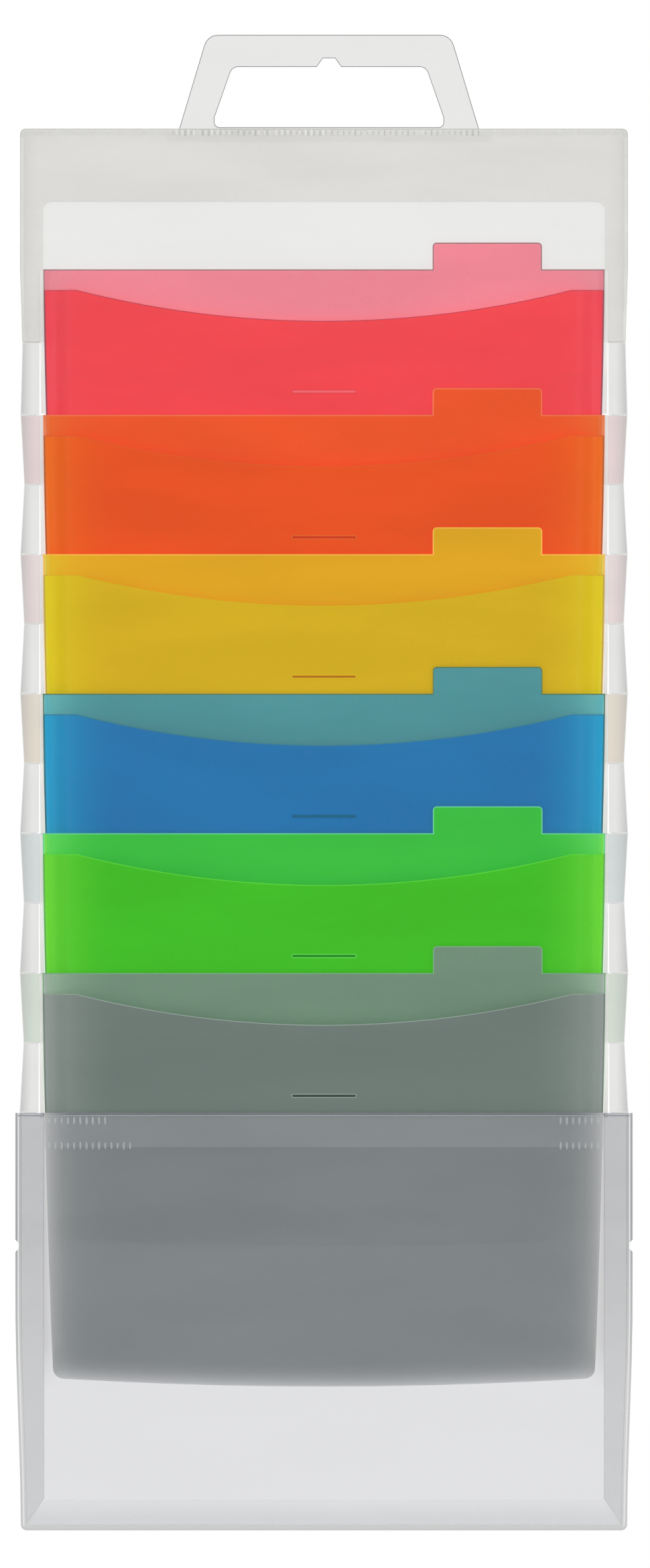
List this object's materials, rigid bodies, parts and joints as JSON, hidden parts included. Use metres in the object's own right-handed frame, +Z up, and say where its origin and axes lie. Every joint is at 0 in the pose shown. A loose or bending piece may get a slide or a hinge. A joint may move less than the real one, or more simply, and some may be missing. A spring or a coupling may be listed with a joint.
{
  "type": "hanging document pocket",
  "caption": "Wall-hung document organiser: a clear carry-handle panel, coloured translucent pockets that cascade on folding side gussets, and a clear front cover that closes the pack.",
  "frame": {"origin": "middle of the flat roof of the handle's hanging notch, halfway through the handle's thickness", "axes": "+Z up, the way it hangs; +Y into the wall, so the front faces -Y; +X to the right of someone who faces the front"},
  "size_m": [0.3671, 0.0478, 0.8907],
  "materials": {
    "pink_sheet": "translucent polypropylene sheet, satin",
    "orange_sheet": "translucent polypropylene sheet, satin",
    "yellow_sheet": "translucent polypropylene sheet, satin",
    "blue_sheet": "translucent polypropylene sheet, satin",
    "green_sheet": "translucent polypropylene sheet, satin",
    "grey_sheet": "translucent polypropylene sheet, satin",
    "clear_panel": "frosted natural polypropylene sheet",
    "clear_gusset": "frosted natural polypropylene sheet",
    "clear_handle": "frosted natural polypropylene sheet, die-cut"
  },
  "bodies": {
    "back": {"back_panel": "clear_panel", "gusset_frame": "clear_gusset", "handle": "clear_handle", "pocket_1_back": "pink_sheet", "pocket_1_front": "pink_sheet"},
    "link_1": {"gusset_link_1_left": "clear_gusset", "gusset_link_1_right": "clear_gusset"},
    "pocket_2": {"pocket_2_back": "orange_sheet", "pocket_2_front": "orange_sheet", "pocket_2_gusset_left": "clear_gusset", "pocket_2_gusset_right": "clear_gusset"},
    "link_2": {"gusset_link_2_left": "clear_gusset", "gusset_link_2_right": "clear_gusset"},
    "pocket_3": {"pocket_3_back": "yellow_sheet", "pocket_3_front": "yellow_sheet", "pocket_3_gusset_left": "clear_gusset", "pocket_3_gusset_right": "clear_gusset"},
    "link_3": {"gusset_link_3_left": "clear_gusset", "gusset_link_3_right": "clear_gusset"},
    "pocket_4": {"pocket_4_back": "blue_sheet", "pocket_4_front": "blue_sheet", "pocket_4_gusset_left": "clear_gusset", "pocket_4_gusset_right": "clear_gusset"},
    "link_4": {"gusset_link_4_left": "clear_gusset", "gusset_link_4_right": "clear_gusset"},
    "pocket_5": {"pocket_5_back": "green_sheet", "pocket_5_front": "green_sheet", "pocket_5_gusset_left": "clear_gusset", "pocket_5_gusset_right": "clear_gusset"},
    "link_5": {"gusset_link_5_left": "clear_gusset", "gusset_link_5_right": "clear_gusset"},
    "pocket_6": {"pocket_6_back": "grey_sheet", "pocket_6_front": "grey_sheet", "pocket_6_gusset_left": "clear_gusset", "pocket_6_gusset_right": "clear_gusset"},
    "link_6": {"gusset_link_6_left": "clear_gusset", "gusset_link_6_right": "clear_gusset"},
    "cover": {"front_cover": "clear_panel", "cover_gusset_left": "clear_gusset", "cover_gusset_right": "clear_gusset", "cover_gusset_bottom": "clear_gusset", "cover_hem": "clear_gusset"}
  },
  "joints": [
    {"name": "gusset_fold_1", "type": "hinge", "parent": "back", "child": "link_1", "pos_m": [-0.003, -0.00155, -0.1695], "axis": [-1, 0, 0], "range_deg": [-1, 163.4]},
    {"name": "pocket_2_hang", "type": "hinge", "parent": "link_1", "child": "pocket_2", "pos_m": [-0.003, -0.00825, -0.213], "axis": [1, 0, 0], "range_deg": [0, 162.4]},
    {"name": "gusset_fold_2", "type": "hinge", "parent": "pocket_2", "child": "link_2", "pos_m": [-0.003, -0.00875, -0.25455], "axis": [-1, 0, 0], "range_deg": [-1, 162.6]},
    {"name": "pocket_3_hang", "type": "hinge", "parent": "link_2", "child": "pocket_3", "pos_m": [-0.003, -0.01545, -0.2961], "axis": [1, 0, 0], "range_deg": [0, 161.6]},
    {"name": "gusset_fold_3", "type": "hinge", "parent": "pocket_3", "child": "link_3", "pos_m": [-0.003, -0.01595, -0.33765], "axis": [-1, 0, 0], "range_deg": [-1, 162.6]},
    {"name": "pocket_4_hang", "type": "hinge", "parent": "link_3", "child": "pocket_4", "pos_m": [-0.003, -0.02265, -0.3792], "axis": [1, 0, 0], "range_deg": [0, 161.6]},
    {"name": "gusset_fold_4", "type": "hinge", "parent": "pocket_4", "child": "link_4", "pos_m": [-0.003, -0.02315, -0.42075], "axis": [-1, 0, 0], "range_deg": [-1, 162.6]},
    {"name": "pocket_5_hang", "type": "hinge", "parent": "link_4", "child": "pocket_5", "pos_m": [-0.003, -0.02985, -0.4623], "axis": [1, 0, 0], "range_deg": [0, 161.6]},
    {"name": "gusset_fold_5", "type": "hinge", "parent": "pocket_5", "child": "link_5", "pos_m": [-0.003, -0.03035, -0.50385], "axis": [-1, 0, 0], "range_deg": [-1, 162.6]},
    {"name": "pocket_6_hang", "type": "hinge", "parent": "link_5", "child": "pocket_6", "pos_m": [-0.003, -0.03705, -0.5454], "axis": [1, 0, 0], "range_deg": [0, 161.6]},
    {"name": "gusset_fold_6", "type": "hinge", "parent": "pocket_6", "child": "link_6", "pos_m": [-0.003, -0.03755, -0.58695], "axis": [-1, 0, 0], "range_deg": [-1, 162.6]},
    {"name": "cover_hang", "type": "hinge", "parent": "link_6", "child": "cover", "pos_m": [-0.003, -0.04425, -0.6285], "axis": [1, 0, 0], "range_deg": [0, 161.6]}
  ],
  "couplings": [
    {"joint": "gusset_fold_1", "follows": "pocket_2_hang", "ratio": 1},
    {"joint": "gusset_fold_2", "follows": "pocket_3_hang", "ratio": 1},
    {"joint": "gusset_fold_3", "follows": "pocket_4_hang", "ratio": 1},
    {"joint": "gusset_fold_4", "follows": "pocket_5_hang", "ratio": 1},
    {"joint": "gusset_fold_5", "follows": "pocket_6_hang", "ratio": 1},
    {"joint": "gusset_fold_6", "follows": "cover_hang", "ratio": 1}
  ]
}
